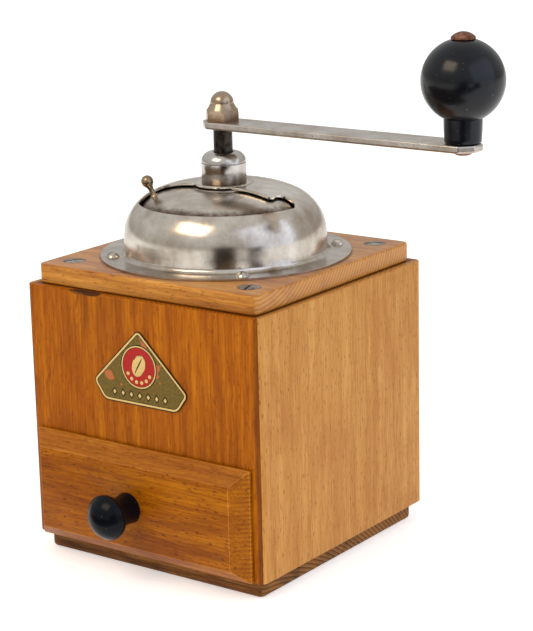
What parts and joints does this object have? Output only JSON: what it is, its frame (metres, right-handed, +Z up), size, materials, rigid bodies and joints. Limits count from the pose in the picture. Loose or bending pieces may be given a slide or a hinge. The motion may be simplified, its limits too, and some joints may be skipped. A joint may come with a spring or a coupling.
{
  "type": "box coffee mill",
  "caption": "Wooden box coffee mill with a pressed metal dome, turning shutter, crank with a ball grip, toothed grinding cone and ring, and a pull-out drawer.",
  "frame": {"origin": "middle of the underside of the base board", "axes": "+Z up; -Y is the front with the drawer; +X is to the right seen from the front, and the crank arm points along +X at rest"},
  "size_m": [0.1924, 0.1479, 0.2249],
  "materials": {
    "case_wood": "lacquered beech, gloss worn to satin",
    "lid_wood": "lacquered beech, satin",
    "dark_wood": "dark stained beech, worn",
    "raw_wood": "unfinished beech",
    "black_lacquer": "turned wood, black gloss lacquer",
    "nickel": "nickel plate, satin, tarnished",
    "iron": "as cast",
    "bush_brass": "bored",
    "screw_steel": "aged steel",
    "badge_print": "printed foil plate"
  },
  "bodies": {
    "case": {"base_board": "dark_wood", "front_panel": "case_wood", "back_panel": "case_wood", "left_panel": "case_wood", "right_panel": "case_wood", "top_board": "lid_wood", "corner_block_front_left": "raw_wood", "corner_block_front_right": "raw_wood", "corner_block_back_left": "raw_wood", "corner_block_back_right": "raw_wood", "badge": "badge_print", "dome": "nickel", "bearing_cap": "nickel", "bearing_bush": "bush_brass", "upper_bridge": "iron", "mill_housing": "iron", "burr_ring": "iron", "lower_bridge": "screw_steel", "click_spring": "screw_steel", "dome_screws": "nickel", "top_board_screws": "screw_steel", "base_screws": "screw_steel", "housing_screws": "screw_steel", "upper_bridge_screws": "screw_steel", "lower_bridge_screws": "screw_steel", "click_spring_screw": "screw_steel"},
    "drawer": {"drawer_front": "case_wood", "drawer_left_side": "raw_wood", "drawer_right_side": "raw_wood", "drawer_back": "raw_wood", "drawer_bottom": "raw_wood", "drawer_knob": "black_lacquer", "drawer_knob_screw": "screw_steel"},
    "shutter": {"shutter": "nickel", "shutter_knob": "nickel"},
    "thrust": {"thrust_ball": "screw_steel"},
    "adjuster": {"adjuster": "screw_steel"},
    "crank": {"spindle": "screw_steel", "burr_cone": "iron", "cone_pin": "screw_steel", "crank_arm": "nickel", "crank_nut": "nickel", "knob_pin": "screw_steel"},
    "grip": {"crank_knob": "black_lacquer"}
  },
  "joints": [
    {"name": "drawer_slide", "type": "slide", "parent": "case", "child": "drawer", "axis": [0, -1, 0], "range_m": [0, 0.112]},
    {"name": "shutter_turn", "type": "hinge", "parent": "case", "child": "shutter", "pos_m": [0, 0, 0.1545], "axis": [0, 0, 1], "range_deg": [0, 139]},
    {"name": "grind_lift", "type": "slide", "parent": "case", "child": "thrust", "axis": [0, 0, 1], "range_m": [-0.001, 0.0004]},
    {"name": "grind_adjust", "type": "hinge", "parent": "thrust", "child": "adjuster", "pos_m": [0, 0, 0.055], "axis": [0, 0, 1], "range_deg": [-360, 144]},
    {"name": "crank_turn", "type": "hinge", "parent": "thrust", "child": "crank", "pos_m": [0, 0, 0.09], "axis": [0, 0, -1], "continuous": true},
    {"name": "grip_spin", "type": "hinge", "parent": "crank", "child": "grip", "pos_m": [0.116, 0, 0.2], "axis": [0, 0, 1], "continuous": true}
  ],
  "couplings": [
    {"joint": "grind_lift", "follows": "grind_adjust", "m_per_rad": 0.00015915}
  ]
}
